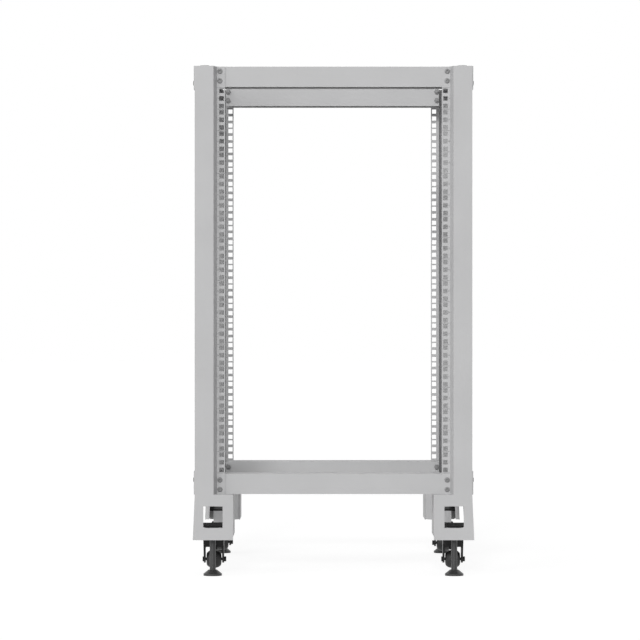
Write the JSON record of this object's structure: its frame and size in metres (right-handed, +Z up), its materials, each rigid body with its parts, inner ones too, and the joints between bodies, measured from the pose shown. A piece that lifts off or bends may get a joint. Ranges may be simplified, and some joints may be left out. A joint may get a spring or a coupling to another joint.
{
  "type": "four post open frame rack",
  "caption": "Open frame equipment rack of four folded sheet posts with square-hole mounting flanges, cross bars, side rails, and windowed legs on casters with levelling feet.",
  "frame": {"origin": "on the floor, midway between the four posts", "axes": "+Z up, the front faces -Y, +X to the right seen from the front"},
  "size_m": [0.583, 0.636, 1.0611],
  "materials": {
    "frame_paint": "light grey powder coat, satin, with a fine even texture",
    "black_steel": "black painted steel, satin, with plated axle bolts",
    "wheel_rubber": "black rubber, slightly shiny",
    "foot_black": "black plated steel stem and pad"
  },
  "bodies": {
    "frame": {"post_front_left": "frame_paint", "post_front_right": "frame_paint", "post_rear_left": "frame_paint", "post_rear_right": "frame_paint", "post_caps": "frame_paint", "top_bar_front": "frame_paint", "top_bar_rear": "frame_paint", "bottom_bar_front": "frame_paint", "bottom_bar_rear": "frame_paint", "top_side_rail_left": "frame_paint", "top_side_rail_right": "frame_paint", "bottom_side_rail_left": "frame_paint", "bottom_side_rail_right": "frame_paint", "leg_front_left": "frame_paint", "leg_front_right": "frame_paint", "leg_rear_left": "frame_paint", "leg_rear_right": "frame_paint", "caster_mounts": "frame_paint", "mount_shelf_front_left": "black_steel", "mount_shelf_front_right": "black_steel", "mount_shelf_rear_left": "black_steel", "mount_shelf_rear_right": "black_steel"},
    "swivel_front_left": {"caster_fork_front_left": "black_steel"},
    "wheel_front_left": {"caster_wheel_front_left": "wheel_rubber"},
    "foot_front_left": {"levelling_foot_front_left": "foot_black"},
    "swivel_front_right": {"caster_fork_front_right": "black_steel"},
    "wheel_front_right": {"caster_wheel_front_right": "wheel_rubber"},
    "foot_front_right": {"levelling_foot_front_right": "foot_black"},
    "swivel_rear_left": {"caster_fork_rear_left": "black_steel"},
    "wheel_rear_left": {"caster_wheel_rear_left": "wheel_rubber"},
    "foot_rear_left": {"levelling_foot_rear_left": "foot_black"},
    "swivel_rear_right": {"caster_fork_rear_right": "black_steel"},
    "wheel_rear_right": {"caster_wheel_rear_right": "wheel_rubber"},
    "foot_rear_right": {"levelling_foot_rear_right": "foot_black"}
  },
  "joints": [
    {"name": "swivel_front_left", "type": "hinge", "parent": "frame", "child": "swivel_front_left", "pos_m": [-0.251, -0.2355, 0.075], "axis": [0, 0, 1], "continuous": true},
    {"name": "roll_front_left", "type": "hinge", "parent": "swivel_front_left", "child": "wheel_front_left", "pos_m": [-0.251, -0.2215, 0.0285], "axis": [1, 0, 0], "continuous": true},
    {"name": "level_front_left", "type": "slide", "parent": "frame", "child": "foot_front_left", "axis": [0, 0, 1], "range_m": [0, 0.012]},
    {"name": "swivel_front_right", "type": "hinge", "parent": "frame", "child": "swivel_front_right", "pos_m": [0.251, -0.2355, 0.075], "axis": [0, 0, 1], "continuous": true},
    {"name": "roll_front_right", "type": "hinge", "parent": "swivel_front_right", "child": "wheel_front_right", "pos_m": [0.251, -0.2215, 0.0285], "axis": [1, 0, 0], "continuous": true},
    {"name": "level_front_right", "type": "slide", "parent": "frame", "child": "foot_front_right", "axis": [0, 0, 1], "range_m": [0, 0.012]},
    {"name": "swivel_rear_left", "type": "hinge", "parent": "frame", "child": "swivel_rear_left", "pos_m": [-0.251, 0.2355, 0.075], "axis": [0, 0, 1], "continuous": true},
    {"name": "roll_rear_left", "type": "hinge", "parent": "swivel_rear_left", "child": "wheel_rear_left", "pos_m": [-0.251, 0.2495, 0.0285], "axis": [1, 0, 0], "continuous": true},
    {"name": "level_rear_left", "type": "slide", "parent": "frame", "child": "foot_rear_left", "axis": [0, 0, 1], "range_m": [0, 0.012]},
    {"name": "swivel_rear_right", "type": "hinge", "parent": "frame", "child": "swivel_rear_right", "pos_m": [0.251, 0.2355, 0.075], "axis": [0, 0, 1], "continuous": true},
    {"name": "roll_rear_right", "type": "hinge", "parent": "swivel_rear_right", "child": "wheel_rear_right", "pos_m": [0.251, 0.2215, 0.0285], "axis": [1, 0, 0], "continuous": true},
    {"name": "level_rear_right", "type": "slide", "parent": "frame", "child": "foot_rear_right", "axis": [0, 0, 1], "range_m": [0, 0.012]}
  ]
}
